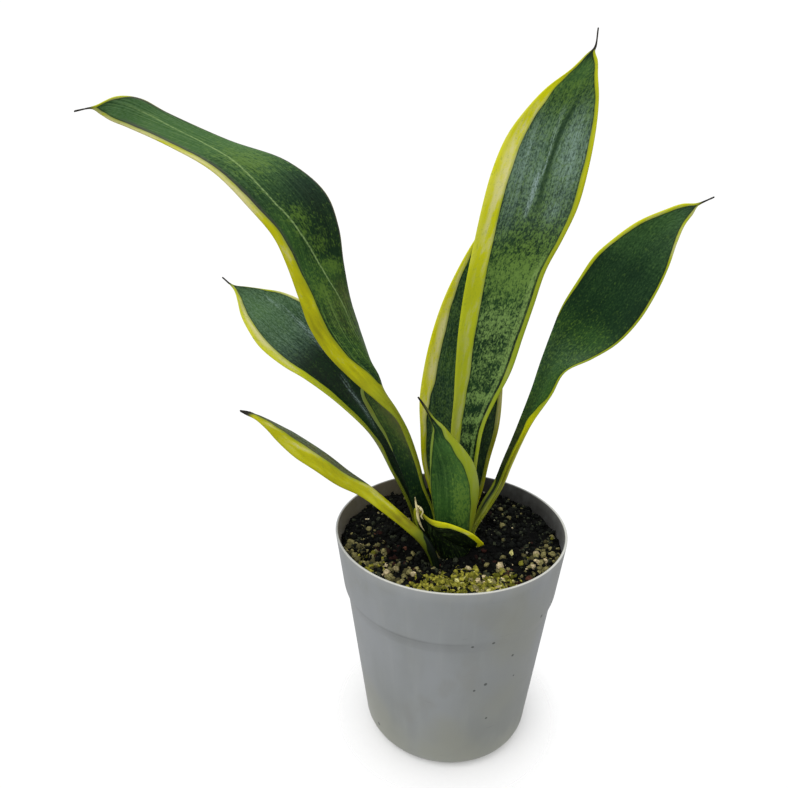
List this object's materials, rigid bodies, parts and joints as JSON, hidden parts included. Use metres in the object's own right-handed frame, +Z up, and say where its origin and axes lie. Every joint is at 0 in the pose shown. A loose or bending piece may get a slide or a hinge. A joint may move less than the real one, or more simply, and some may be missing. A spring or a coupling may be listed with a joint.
{
  "type": "potted snake plant",
  "caption": "Young snake plant with twisted sword-shaped leaves edged in yellow, in potting mix in a plain round tapered nursery pot with a stepped band under its rim.",
  "frame": {"origin": "centre of the pot's flat underside", "axes": "+Z up along the pot's axis, -Y towards the side that the picture shows, +X to its right"},
  "size_m": [0.2564, 0.12, 0.358],
  "materials": {
    "pot_plastic": "satin grey moulded polypropylene, lightly dusty",
    "potting_mix": "dark peat and bark with cream pumice grains",
    "rhizome_skin": "pale fibrous skin of a buried stem",
    "leaf_blade": "waxy, dark green with pale cross bands and yellow margins"
  },
  "bodies": {
    "root": {"pot": "pot_plastic", "soil": "potting_mix", "rhizome": "rhizome_skin", "leaf_arching": "leaf_blade", "leaf_mid_left": "leaf_blade", "leaf_low": "leaf_blade", "leaf_tall": "leaf_blade", "leaf_behind": "leaf_blade", "leaf_right": "leaf_blade", "leaf_centre": "leaf_blade", "leaf_sheath": "leaf_blade"}
  },
  "joints": []
}
